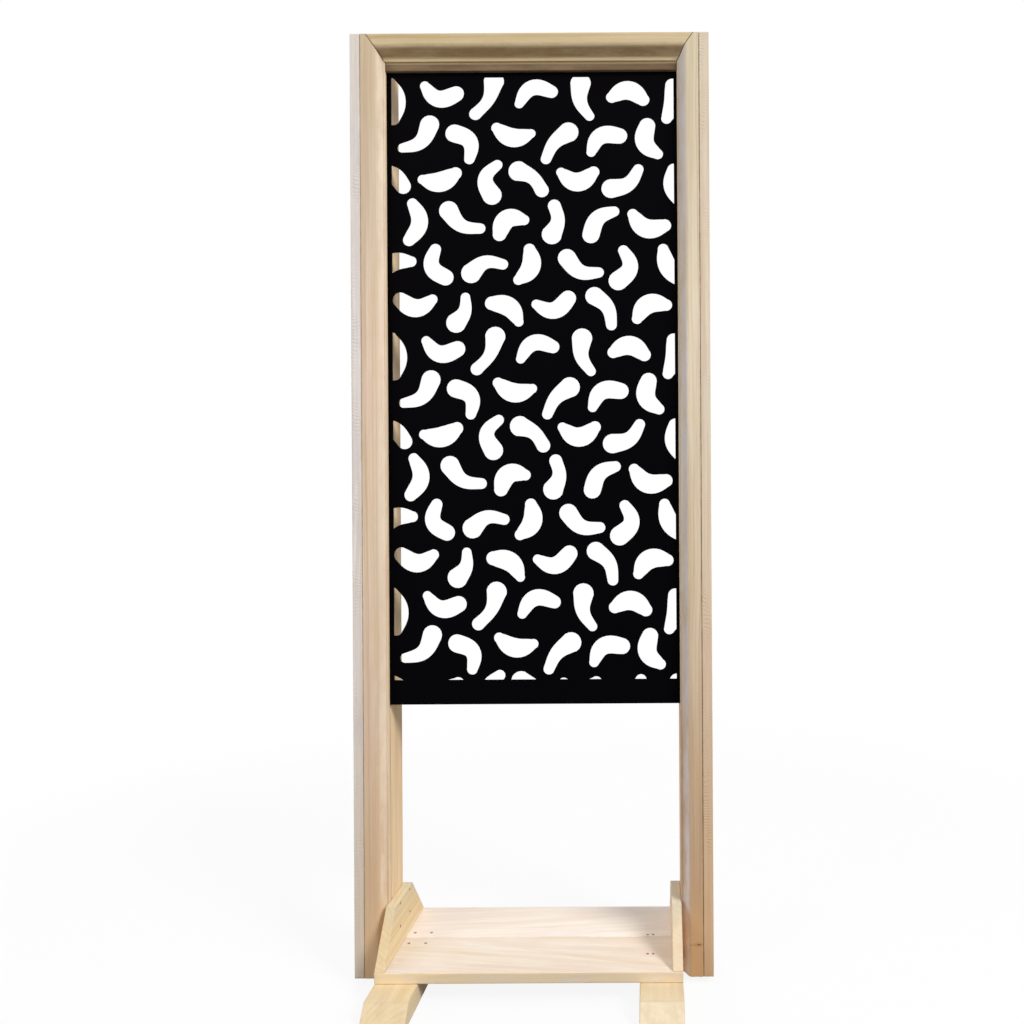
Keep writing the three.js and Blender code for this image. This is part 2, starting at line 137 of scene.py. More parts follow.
def sweptPiece(name, corners, radii, along, start, end, ease=1.2 * mm, stations=12, bow=0.0,
               seed=0.0, ragged=0.0, fold=None):
    # A closed profile carried along one axis. Near each end the ring is drawn in by
    # ease * (1 - cos a) while it moves ease * (1 - sin a), which rounds the end's edges.
    # start and end are places along the axis, or functions of the profile's two numbers.
    # fold names two corners between which the far end is folded, as beside a mitre.
    a = np.radians([90, 67.5, 45, 22.5, 0])
    insets = ease * (1 - np.cos(a))
    depths = ease * (1 - np.sin(a))
    rings, wears = [], []

    def place(profile, depth, share):
        lo = start(profile[:, 0], profile[:, 1]) if callable(start) else np.full(len(profile), start)
        hi = end(profile[:, 0], profile[:, 1]) if callable(end) else np.full(len(profile), end)
        if share is None:
            return lo + depth if depth >= 0 else hi + depth
        reach = 2.5 * ease
        return (lo + reach) * (1 - share) + (hi - reach) * share

    plan = [(insets[i], depths[i], None, i) for i in range(5)]
    plan += [(0.0, 0.0, s, -1) for s in np.linspace(0, 1, stations)]
    plan += [(insets[i], -max(depths[i], 1e-9), None, i) for i in range(4, -1, -1)]
    endWear = [0.0, 0.8, 1.0, 0.8, 0.25]
    for inset, depth, share, step in plan:
        profile, wear = roundedRing(corners, radii, inset)
        at = place(profile, depth, share)
        if bow:  # a gentle bow and a finer unevenness along the board, none at its ends
            grow = np.sin(np.pi * (0.0 if share is None else share))
            sway = np.sin(at * 2.1 + seed) * 0.6 + np.sin(at * 9.7 + 2 * seed) * 0.4
            profile = profile + bow * grow * np.stack([sway, np.cos(at * 3.3 + seed)], 1)
        if ragged and share is None:
            at = at + ragged * np.sin(profile[:, 0] * 420 + seed) * np.cos(profile[:, 1] * 260)
        rings.append(np.stack([profile[:, 0], profile[:, 1], at], 1))
        wears.append(wear * 0 if step == 0 else np.maximum(wear, endWear[step] if step > 0 else 0))
    grid = np.stack(rings)
    m, n = grid.shape[:2]
    cap = list(range((m - 1) * n, m * n))
    ends = [list(range(n - 1, -1, -1)), cap]
    if fold:
        perCorner = ringShape["arcSteps"] + 3  # the arc's points and its two wings
        lower, upper = (c * perCorner + perCorner // 2 for c in fold)
        ends[1:] = [cap[lower:upper + 1], cap[upper:] + cap[:lower + 1]]
    faces = gridFaces(m, n) + ends
    order = {"x": (2, 0, 1), "y": (1, 2, 0), "z": (0, 1, 2)}[along]
    return makeMesh(name, grid.reshape(-1, 3)[:, order], faces, np.concatenate(wears))


# helpers for materials
def put(tree, kind, inputs=None, **settings):
    # adds a node, its settings, and its inputs as values or as sockets to join
    node = tree.nodes.new(kind)
    for key, value in settings.items():
        setattr(node, key, value)
    for key, value in (inputs or {}).items():
        if isinstance(value, bpy.types.NodeSocket):
            tree.links.new(value, node.inputs[key])
        else:
            node.inputs[key].default_value = value
    return node


def calc(tree, operation, a, b=0.0, c=0.0):
    return put(tree, "ShaderNodeMath", {0: a, 1: b, 2: c}, operation=operation).outputs[0]


def times(tree, a, b):
    return calc(tree, "MULTIPLY", a, b)


def plus(tree, a, b):
    return calc(tree, "ADD", a, b)


def vecCalc(tree, operation, a, b=(0, 0, 0)):
    node = put(tree, "ShaderNodeVectorMath", {0: a, 1: b}, operation=operation)
    return node.outputs["Value"] if operation in ("LENGTH", "DOT_PRODUCT", "DISTANCE") else node.outputs[0]


def blendColor(tree, factor, a, b):
    return put(tree, "ShaderNodeMix", {0: factor, 6: a, 7: b}, data_type="RGBA").outputs[2]


def tinted(tree, color, mask, amount, tint):
    return blendColor(tree, times(tree, mask, amount), color, tint)


def spread(tree, value, lo, hi, toLo=0.0, toHi=1.0, soft=True):
    return put(tree, "ShaderNodeMapRange", {0: value, 1: lo, 2: hi, 3: toLo, 4: toHi},
               interpolation_type="SMOOTHSTEP" if soft else "LINEAR").outputs[0]


def noise(tree, vector, scale, detail=2.0, roughness=0.5):
    return put(tree, "ShaderNodeTexNoise", {"Vector": vector, "Scale": scale, "Detail": detail,
                                            "Roughness": roughness})


def drawnNoise(tree, vector, stretch, detail, roughness=0.5, scale=1.0):
    # noise drawn out by another number along each of the three directions
    return noise(tree, vecCalc(tree, "MULTIPLY", vector, stretch), scale, detail, roughness).outputs[0]


def newMaterial(name):
    material = bpy.data.materials.new(name)
    material.use_nodes = True
    material.node_tree.nodes.clear()
    return material, material.node_tree


def newGroup(name, inputs, outputs):
    # inputs and outputs list the labels of their sockets by kind
    group = bpy.data.node_groups.new(name, "ShaderNodeTree")
    for way, kinds in (("INPUT", inputs), ("OUTPUT", outputs)):
        for kind, labels in kinds.items():
            for label in labels:
                group.interface.new_socket(name=label, in_out=way, socket_type="NodeSocket" + kind)
    return group, group.nodes.new("NodeGroupInput").outputs, group.nodes.new("NodeGroupOutput").inputs


def surface(tree, color, roughness, height, strength, distance, specular=0.5, metallic=0.0):
    bump = put(tree, "ShaderNodeBump", {"Height": height, "Strength": strength, "Distance": distance})
    shader = put(tree, "ShaderNodeBsdfPrincipled", {
        "Base Color": color, "Roughness": roughness, "Normal": bump.outputs[0],
        "Specular IOR Level": specular, "Metallic": metallic})
    put(tree, "ShaderNodeOutputMaterial", {"Surface": shader.outputs[0]})


# Noises in the pine: how each is drawn out along and across the grain, then its detail and
# its roughness where those are set. A span is where in a noise's range its tint comes in.
grainShape = {
    "log": (1.7, 6.0, 6.0), "small": ((5.0, 55.0, 55.0), 2.0),
    "coarse": ((2.6, 150.0, 150.0), 3.0, 0.6), "fine": ((14.0, 900.0, 900.0), 2.0, 0.6),
    "mottle": ((2.2, 14.0, 14.0), 3.0, 0.55), "streak": ((1.6, 64.0, 64.0), 4.0, 0.62),
    "blotch": ((7.0, 26.0, 26.0), 4.0, 0.66), "patchy": ((22.0, 60.0, 60.0), 3.0, 0.7),
    "fibreSpan": (0.38, 0.66), "mottleSpan": (0.36, 0.68), "streakSpan": (0.47, 0.68),
    "blotchSpan": (0.42, 0.66), "streakBend": 0.03,
}
# Noises in the marks on the pine, in the same order. The last number of the band's cloud is its scale.
markShape = {
    "sawWarp": ((9.0, 20.0, 20.0), 3.0), "sawPatch": ((9.0, 40.0, 40.0), 3.0),
    "bandCloud": ((0.4, 1.2, 1.2), 4.0, 0.65, 34.0), "knotScale": 160.0, "seamScale": 48.0,
}


def pineGroup():
    # Growth rings round a log axis along the first number of Vector, with fibres and mottle.
    t, given, result = newGroup("pineGrain", {
        "Vector": ["Vector"],
        "Float": ["Ring Width", "Wander", "Seed", "End Face", "Edge", "Ring Strength",
                  "Fibre Strength", "Mottle Strength", "Streak Strength", "Blotch Strength"],
        "Color": ["Early Wood", "Late Wood", "Fibre Tint", "Mottle Tint", "End Tint", "Edge Tint",
                  "Blotch Tint"],
    }, {"Color": ["Color"], "Float": ["Roughness", "Height"]})
    vector = given["Vector"]
    # the log wanders a little along its length
    slow = noise(t, vecCalc(t, "MULTIPLY", vector, grainShape["log"]), 1.0, 2.0)
    offset = vecCalc(t, "SUBTRACT", slow.outputs["Color"], (0.5, 0.5, 0.5))
    wandered = put(t, "ShaderNodeVectorMath", {0: offset, "Scale": given["Wander"]}, operation="SCALE")
    moved = vecCalc(t, "ADD", vector, wandered.outputs[0])
    across = vecCalc(t, "MULTIPLY", moved, (0.0, 1.0, 1.0))
    radius = vecCalc(t, "LENGTH", across)
    small = drawnNoise(t, vector, *grainShape["small"])
    ring = plus(t, calc(t, "DIVIDE", radius, given["Ring Width"]), times(t, small, 0.9))
    part = calc(t, "FRACT", ring)
    rise = spread(t, part, 0.25, 0.88)
    fall = spread(t, part, 0.9, 1.0, 1.0, 0.0)
    idNoise = put(t, "ShaderNodeTexWhiteNoise",
                  {"W": plus(t, calc(t, "FLOOR", ring), given["Seed"])}, noise_dimensions="1D")
    ringWeight = spread(t, idNoise.outputs["Value"], 0.0, 1.0, 0.25, 1.0, soft=False)
    late = times(t, times(t, rise, fall), ringWeight)
    lateStrong = times(t, late, given["Ring Strength"])
    # fibres: noise drawn out along the grain, coarse and fine
    coarse = drawnNoise(t, vector, *grainShape["coarse"])
    fine = drawnNoise(t, vector, *grainShape["fine"])
    fibre = plus(t, times(t, coarse, 0.65), times(t, fine, 0.35))
    fibreMask = spread(t, fibre, *grainShape["fibreSpan"])
    mottle = drawnNoise(t, vector, *grainShape["mottle"])
    mottleMask = spread(t, mottle, *grainShape["mottleSpan"])
    color = blendColor(t, lateStrong, given["Early Wood"], given["Late Wood"])
    color = tinted(t, color, fibreMask, given["Fibre Strength"], given["Fibre Tint"])
    color = tinted(t, color, mottleMask, given["Mottle Strength"], given["Mottle Tint"])
    # long uneven streaks, and blotches of another tone that break across the rings
    bend = put(t, "ShaderNodeVectorMath", {0: offset, "Scale": grainShape["streakBend"]},
               operation="SCALE")
    bent = vecCalc(t, "ADD", vector, bend.outputs[0])
    for kind, tint in (("streak", "Late Wood"), ("blotch", "Blotch Tint")):
        cloud = drawnNoise(t, bent, *grainShape[kind])
        color = tinted(t, color, spread(t, cloud, *grainShape[kind + "Span"]),
                       given[kind.title() + " Strength"], given[tint])
    endMix = times(t, given["End Face"], spread(t, late, 0.0, 1.0, 0.45, 0.85))
    color = blendColor(t, endMix, color, given["End Tint"])
    # edges: scuffed here and there rather than in an even line
    patchy = drawnNoise(t, vector, *grainShape["patchy"])
    edgeMask = times(t, given["Edge"], spread(t, patchy, 0.4, 0.62, 0.15, 0.8))
    color = blendColor(t, edgeMask, color, given["Edge Tint"])
    t.links.new(color, result["Color"])
    rough = plus(t, times(t, fibreMask, 0.12), times(t, late, -0.1))
    t.links.new(plus(t, rough, 0.66), result["Roughness"])
    height = plus(t, times(t, late, 0.5), times(t, fibre, -0.6))
    t.links.new(height, result["Height"])
    return t


def sawGroup():
    # Rough sawing: fine bands across the grain, broken up by noise.
    t, given, result = newGroup("sawMarks", {"Vector": ["Vector"], "Float": ["Pitch"]},
                                {"Float": ["Mask", "Height"]})
    parts = put(t, "ShaderNodeSeparateXYZ", {0: given["Vector"]}).outputs
    warp = drawnNoise(t, given["Vector"], *markShape["sawWarp"])
    x = plus(t, parts[0], times(t, warp, 0.06))
    wave = calc(t, "SINE", calc(t, "DIVIDE", times(t, x, 2 * math.pi), given["Pitch"]))
    patch = drawnNoise(t, given["Vector"], *markShape["sawPatch"])
    mask = times(t, spread(t, wave, 0.1, 1.0), spread(t, patch, 0.46, 0.64))
    t.links.new(mask, result["Mask"])
    t.links.new(times(t, mask, -1.0), result["Height"])
    return t


def stainAndPaintedLightGroup():
    # A soft-edged band between two places along Value, broken up by noise where Patchy is high: a real
    # stain on the cheeks, while on the other pieces it paints highlights and shade.
    t, given, result = newGroup("stainAndPaintedLightBand", {
        "Vector": ["Vector"], "Float": ["Value", "From", "To", "Patchy"]}, {"Float": ["Mask"]})
    rise = spread(t, given["Value"], given["From"], given["To"])
    cloud = drawnNoise(t, given["Vector"], *markShape["bandCloud"])
    whole = calc(t, "SUBTRACT", 1.0, given["Patchy"])
    t.links.new(times(t, rise, spread(t, cloud, 0.3, 0.62, whole, 1.0)), result["Mask"])
    return t


def knotGroup():
    # A small knot: a dark heart and a softer ring round Centre, drawn out by Stretch.
    t, given, result = newGroup("smallKnot", {
        "Vector": ["Vector", "Centre", "Stretch"], "Float": ["Size"]}, {"Float": ["Heart", "Ring"]})
    away = vecCalc(t, "SUBTRACT", given["Vector"], given["Centre"])
    length = vecCalc(t, "LENGTH", vecCalc(t, "DIVIDE", away, given["Stretch"]))
    rough = noise(t, given["Vector"], markShape["knotScale"]).outputs[0]
    scaled = plus(t, calc(t, "DIVIDE", length, given["Size"]), times(t, rough, 0.5))
    t.links.new(spread(t, scaled, 0.6, 1.15, 1.0, 0.0), result["Heart"])
    t.links.new(spread(t, scaled, 0.9, 3.2, 1.0, 0.0), result["Ring"])
    return t


def seamGroup():
    # Dirt beside a joint: a line that fades with Distance and is broken up by noise.
    t, given, result = newGroup("seamDirt", {"Vector": ["Vector"], "Float": ["Distance", "Width"]},
                                {"Float": ["Mask"]})
    cloud = noise(t, given["Vector"], markShape["seamScale"], 4.0, 0.7).outputs[0]
    reach = times(t, given["Width"], spread(t, cloud, 0.3, 0.7, 0.55, 1.6, soft=False))
    share = calc(t, "DIVIDE", calc(t, "ABSOLUTE", given["Distance"]), reach)
    t.links.new(spread(t, share, 0.25, 1.0, 1.0, 0.0), result["Mask"])
    return t


pineGrain, sawMarks, stainAndPaintedLightBand = pineGroup(), sawGroup(), stainAndPaintedLightGroup()
smallKnot, seamDirt = knotGroup(), seamGroup()
print("shader groups made")

# Shared by the timber looks below, which give their own value where they differ. mitreLine is
# a point on the mitre, across and up, and the direction along it, also across and up.
pineTones = {
    "end": (176, 136, 92), "edge": (222, 200, 166), "knotRing": (160, 116, 76),
    "knotHeart": (96, 62, 38), "seam": (92, 64, 42), "seamWidth": 1.3 * mm,
    "jointAt": 306.15 * mm, "mitreLine": (296 * mm, 1718 * mm, 0.8164, 0.5775),
    "wander": 0.02, "rings": 0.7, "fibres": 0.55, "mottles": 0.5, "streaks": 0.4, "blotches": 0.4,
    "bump": 0.35, "bumpDepth": 0.6 * mm, "tilt": (0.0, 0.0, 0.0), "joint": 0.0, "mitre": 0.0,
    "drift": (), "stainsAndPaintedLight": (), "knots": (), "patchy": 0.65, "specular": 0.32,
}


def timber(name, own):
    look = {**pineTones, **own}
    material, t = newMaterial(name)
    coords = put(t, "ShaderNodeTexCoord").outputs
    x, y, z = put(t, "ShaderNodeSeparateXYZ", {0: coords["Object"]}).outputs
    order = {"x": (x, y, z), "y": (y, z, x), "z": (z, x, y)}[look["grain"]]
    turned = put(t, "ShaderNodeCombineXYZ", dict(enumerate(order))).outputs[0]
    spot = look["log"]
    laid = put(t, "ShaderNodeMapping", {"Vector": turned, "Location": (spot[0], -spot[1], -spot[2]),
                                        "Rotation": look["tilt"]}).outputs[0]
    normal = put(t, "ShaderNodeSeparateXYZ", {0: coords["Normal"]}).outputs
    facing = calc(t, "ABSOLUTE", normal["xyz".index(look["grain"])])
    wear = put(t, "ShaderNodeAttribute", attribute_name="edgeWear").outputs["Fac"]
    tints = {"Early Wood": "early", "Late Wood": "late", "Fibre Tint": "fibre", "Mottle Tint": "mottle",
             "End Tint": "end", "Edge Tint": "edge", "Blotch Tint": "blotch"}
    amounts = {"Ring Width": "ringWidth", "Wander": "wander", "Seed": "seed", "Ring Strength": "rings",
               "Fibre Strength": "fibres", "Mottle Strength": "mottles", "Streak Strength": "streaks",
               "Blotch Strength": "blotches"}
    grain = put(t, "ShaderNodeGroup", {
        "Vector": laid, "End Face": spread(t, facing, 0.55, 0.85), "Edge": wear,
        **{label: fromSrgb(*look[key]) for label, key in tints.items()},
        **{label: look[key] for label, key in amounts.items()}}, node_tree=pineGrain).outputs
    color, height = grain["Color"], grain["Height"]
    for tint, full, none, amount in look["drift"]:  # a tone that fades along the height; low on the mouldings it is painted light
        color = blendColor(t, spread(t, z, full, none, amount, 0.0), color, fromSrgb(*tint))
    if "saw" in look:
        saw = look["saw"]
        marks = put(t, "ShaderNodeGroup", {"Vector": laid, "Pitch": saw["pitch"]},
                    node_tree=sawMarks).outputs
        color = tinted(t, color, marks["Mask"], saw["amount"], fromSrgb(*saw["tint"]))
        height = plus(t, height, times(t, marks["Height"], 0.8))
    # bands of colour: real stains on the cheeks, painted highlights and painted shade elsewhere
    for patch in look["stainsAndPaintedLight"]:
        place = {"x": x, "y": y, "z": z}[patch["axis"]]
        mask = put(t, "ShaderNodeGroup", {
            "Vector": laid, "Value": place, "From": patch["from"], "To": patch["to"],
            "Patchy": patch.get("patchy", look["patchy"])}, node_tree=stainAndPaintedLightBand).outputs[0]
        mask = times(t, mask, patch["amount"])
        if "fadesOut" in patch:  # the band ends between these two places
            mask = times(t, mask, spread(t, place, *patch["fadesOut"], 1.0, 0.0))
        color = blendColor(t, mask, color, fromSrgb(*patch["tint"]))
    for place, size, stretch in look["knots"]:
        knot = put(t, "ShaderNodeGroup", {"Vector": coords["Object"], "Centre": place, "Size": size,
                                          "Stretch": stretch}, node_tree=smallKnot).outputs
        color = tinted(t, color, knot["Ring"], 0.35, fromSrgb(*look["knotRing"]))
        color = tinted(t, color, knot["Heart"], 0.8, fromSrgb(*look["knotHeart"]))
    # the upright joint between moulding and side board, and the mitre
    sideways = calc(t, "ABSOLUTE", x)
    across, up, alongAcross, alongUp = look["mitreLine"]
    seams = []
    if look["joint"]:
        seams.append((calc(t, "SUBTRACT", sideways, look["jointAt"]), look["joint"]))
    if look["mitre"]:
        slant = calc(t, "SUBTRACT", times(t, calc(t, "SUBTRACT", sideways, across), alongAcross),
                     times(t, calc(t, "SUBTRACT", z, up), alongUp))
        seams.append((slant, look["mitre"]))
    for distance, amount in seams:
        seam = put(t, "ShaderNodeGroup", {"Vector": coords["Object"], "Distance": distance,
                                          "Width": look["seamWidth"]}, node_tree=seamDirt).outputs[0]
        color = tinted(t, color, seam, amount, fromSrgb(*look["seam"]))
    surface(t, color, grain["Roughness"], height, look["bump"], look["bumpDepth"], look["specular"])
    return material


# black panel
panelLook = {
    "coat": (3, 2, 4), "dust": (22, 20, 22), "roughness": (0.5, 0.64), "edgeRadius": 0.35 * mm,
    "peel": (0.12, 0.3 * mm), "peelNoise": (620.0, 2.0), "cloudNoise": (5.0, 4.0, 0.6),
    "speckNoise": (380.0, 1.0), "specular": 0.02,
    "windowSide": 40 * mm, "windowEnd": 45 * mm, "tileDown": 470 * mm, "bendFrom": 0.15,
    "spineCount": 17, "capCount": 9, "leastCut": 3 * mm,
}
# Each motif is a bent bar: place across and down, heading and length of its spine, the
# bend along it, and the radius at its start, middle and end. Degrees and millimetres.
motifs = [
    [6, 42, 85, 70, 40, 10, 17, 12],
    [88, 32, 15, 70, -80, 9, 16, 15],
    [176, 40, 120, 70, 35, 19, 12, 12],
    [262, 28, -20, 76, 85, 9, 15, 12],
    [352, 44, 75, 66, -45, 19, 13, 9],
    [436, 32, 5, 66, 75, 11, 18, 12],
    [516, 48, 100, 64, 30, 13, 16, 10],
    [50, 114, -40, 72, -60, 9, 14, 18],
    [138, 122, 60, 66, 85, 17, 15, 10],
    [224, 106, 10, 70, -60, 10, 18, 9],
    [302, 124, 130, 66, -35, 19, 13, 10],
    [389, 116, -30, 70, 80, 9, 16, 15],
    [473, 120, 70, 64, -75, 15, 17, 10],
    [-2, 182, 25, 64, 60, 12, 15, 14],
    [88, 188, 170, 66, 50, 12, 19, 9],
    [180, 188, 100, 68, -85, 10, 14, 18],
    [258, 188, 40, 58, 40, 19, 13, 13],
    [342, 186, 0, 72, -85, 9, 18, 11],
    [433, 194, 145, 66, 55, 10, 14, 18],
    [520, 202, 80, 60, -50, 13, 15, 12],
    [44, 266, 95, 76, 70, 10, 16, 12],
    [130, 268, 30, 72, -55, 18, 13, 10],
    [216, 268, 150, 64, -90, 10, 18, 13],
    [302, 264, 95, 56, 50, 12, 13, 19],
    [383, 265, -45, 66, 60, 16, 15, 10],
    [470, 273, 20, 72, -75, 10, 18, 12],
    [4, 344, -20, 66, 50, 14, 17, 10],
    [80, 346, 70, 66, -85, 11, 15, 15],
    [173, 346, -15, 66, 60, 19, 13, 10],
    [250, 348, 110, 66, 65, 11, 18, 10],
    [348, 354, 25, 70, -60, 17, 14, 10],
    [431, 350, 100, 68, 85, 10, 15, 18],
    [512, 350, 60, 70, -40, 10, 17, 12],
    [44, 418, 0, 68, -75, 14, 17, 10],
    [130, 430, 110, 52, 45, 9, 13, 19],
    [212, 428, 35, 66, 60, 13, 18, 9],
    [296, 423, -10, 70, -80, 9, 16, 15],
    [393, 428, 60, 66, 50, 17, 13, 10],
    [474, 426, -25, 68, 75, 10, 18, 11],
]


def motifOutline(motif):
    # Spine: heading turns by the bend with a smooth step, and is summed up into points.
    # Outline: the spine moved out by its radius on both sides, with a half circle at each end.
    across, down, heading, length, bend, r0, r1, r2 = motif
    n, caps = panelLook["spineCount"], panelLook["capCount"]
    t = np.linspace(0, 1, n)
    s = np.clip((t - panelLook["bendFrom"]) / (1 - 2 * panelLook["bendFrom"]), 0, 1)
    turn = np.radians(heading + bend * (s * s * (3 - 2 * s) - 0.5))
    mid = (turn[1:] + turn[:-1]) / 2
    x = np.concatenate([[0], np.cumsum(np.cos(mid))]) * length / (n - 1)
    y = np.concatenate([[0], np.cumsum(np.sin(mid))]) * length / (n - 1)
    x, y = across + x - x.mean(), down + y - y.mean()
    r = (1 - t) * (1 - 2 * t) * r0 + 4 * t * (1 - t) * r1 + t * (2 * t - 1) * r2
    half = np.pi * np.arange(1, caps) / caps
    at = np.concatenate([np.arange(n), np.full(caps - 1, n - 1), np.arange(n)[::-1],
                         np.zeros(caps - 1, int)])
    angle = np.concatenate([turn - np.pi / 2, turn[-1] - np.pi / 2 + half,
                            turn[::-1] + np.pi / 2, turn[0] + np.pi / 2 + half])
    return np.stack([x[at] + np.cos(angle) * r[at], y[at] + np.sin(angle) * r[at]], 1) * mm


def windsRound(points, outline):
    # Winding number of a closed outline round each point, from signed edge crossings.
    a, b = outline, np.roll(outline, -1, axis=0)
    px, py = points[:, :1], points[:, 1:]
    left = (b[:, 0] - a[:, 0]) * (py - a[:, 1]) - (px - a[:, 0]) * (b[:, 1] - a[:, 1])
    up = (a[:, 1] <= py) & (b[:, 1] > py) & (left > 0)
    down = (a[:, 1] > py) & (b[:, 1] <= py) & (left < 0)
    return up.sum(1) - down.sum(1)


def makePanel():
    lo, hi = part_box("screen_panel")
    x0, x1, z0, z1 = lo[0], hi[0], lo[2], hi[2]
    wx0, wx1 = x0 + panelLook["windowSide"], x1 - panelLook["windowSide"]
    wz0, wz1 = z0 + panelLook["windowEnd"], z1 - panelLook["windowEnd"]
    outlines = []
    for row in range(-1, int((wz1 - wz0) / panelLook["tileDown"]) + 2):
        for motif in motifs:
            o = motifOutline(motif)
            o = np.stack([wx0 + o[:, 0], wz1 - row * panelLook["tileDown"] - o[:, 1]], 1)
            reach = np.minimum(o.max(0) - (wx0, wz0), (wx1, wz1) - o.min(0))
            if (reach > panelLook["leastCut"]).all():  # what it would cut shows
                outlines.append(o)
    frames = [np.array([[a, c], [b, c], [b, d], [a, d]]) for a, b, c, d in
              ((x0, x1, z0, z1), (wx0, wx1, wz0, wz1))]
    loops = outlines + frames
    points = np.concatenate(loops)
    edges, count = [], 0
    for loop in loops:
        k = np.arange(len(loop))
        edges += (np.stack([k, (k + 1) % len(loop)], 1) + count).tolist()
        count += len(loop)
    found = delaunay_2d_cdt([Vector(p) for p in points.tolist()], edges, [], 0, 1e-7)
    flat = np.array([tuple(p) for p in found[0]])
    tris = np.array(found[2])
    corner = flat[tris]
    area = np.cross(corner[:, 1] - corner[:, 0], corner[:, 2] - corner[:, 0])
    tris[area < 0] = tris[area < 0][:, ::-1]
    middle = corner.mean(1)
    inPanel = ((middle > (x0, z0)) & (middle < (x1, z1))).all(1)
    inWindow = ((middle > (wx0, wz0)) & (middle < (wx1, wz1))).all(1)
    cut = np.zeros(len(tris), bool)
    for o in outlines:
        near = ((middle > o.min(0)) & (middle < o.max(0))).all(1)
        cut[near] |= windsRound(middle[near], o) != 0
    keep = tris[inPanel & ~(inWindow & cut) & (np.abs(area) > 1e-13)]
    # open edges of the kept triangles, with the metal on their left
    pairs = np.concatenate([keep[:, [0, 1]], keep[:, [1, 2]], keep[:, [2, 0]]])
    key = np.sort(pairs, 1) @ np.array([len(flat), 1])
    _, first, uses = np.unique(key, return_index=True, return_counts=True)
    rim = pairs[first[uses == 1]]
    run = flat[rim[:, 1]] - flat[rim[:, 0]]
    run /= np.linalg.norm(run, axis=1)[:, None]
    inward = np.zeros_like(flat)
    for end in (0, 1):
        np.add.at(inward, rim[:, end], np.stack([-run[:, 1], run[:, 0]], 1))
    size = np.linalg.norm(inward, axis=1)
    inward[size > 0] /= size[size > 0, None]
    soft = panelLook["edgeRadius"]
    drawn = flat + inward * soft
    onRim = size > 0
    n = len(flat)
    layers = [(drawn, lo[1]), (flat, lo[1] + soft), (flat, hi[1] - soft), (drawn, hi[1])]
    cloud = np.concatenate([np.stack([f[:, 0], np.full(n, y), f[:, 1]], 1) for f, y in layers])
    wear = np.concatenate([np.zeros(n), onRim * 1.0, onRim * 1.0, np.zeros(n)])
    a, b = rim[:, 0], rim[:, 1]
    sets = [keep, keep[:, ::-1] + 3 * n]
    sets += [np.stack([a + k * n, a + (k + 1) * n, b + (k + 1) * n, b + k * n], 1) for k in range(3)]
    used = np.unique(np.concatenate([f.ravel() for f in sets]))
    renumber = np.full(4 * n, -1)
    renumber[used] = np.arange(len(used))
    faces = [face for f in sets for face in renumber[f].tolist()]
    return makeMesh("cutOutPanel", cloud[used], faces, wear[used], sharpAt=30.0)


def coatMaterial():
    material, t = newMaterial("blackPowderCoat")
    at = put(t, "ShaderNodeTexCoord").outputs["Object"]
    peel = noise(t, at, *panelLook["peelNoise"]).outputs[0]
    cloud = noise(t, at, *panelLook["cloudNoise"]).outputs[0]
    specks = spread(t, noise(t, at, *panelLook["speckNoise"]).outputs[0], 0.74, 0.8)
    wear = put(t, "ShaderNodeAttribute", attribute_name="edgeWear").outputs["Fac"]
    dusty = plus(t, times(t, spread(t, cloud, 0.45, 0.75), 0.04), times(t, specks, 0.1))
    mask = plus(t, dusty, times(t, wear, 0.18))
    color = blendColor(t, mask, fromSrgb(*panelLook["coat"]), fromSrgb(*panelLook["dust"]))
    rough = spread(t, cloud, 0.3, 0.7, *panelLook["roughness"])
    surface(t, color, rough, peel, *panelLook["peel"], panelLook["specular"])
    return material


fit(makePanel(), "screen_panel", coatMaterial(), "black_panel")
print("panel made")

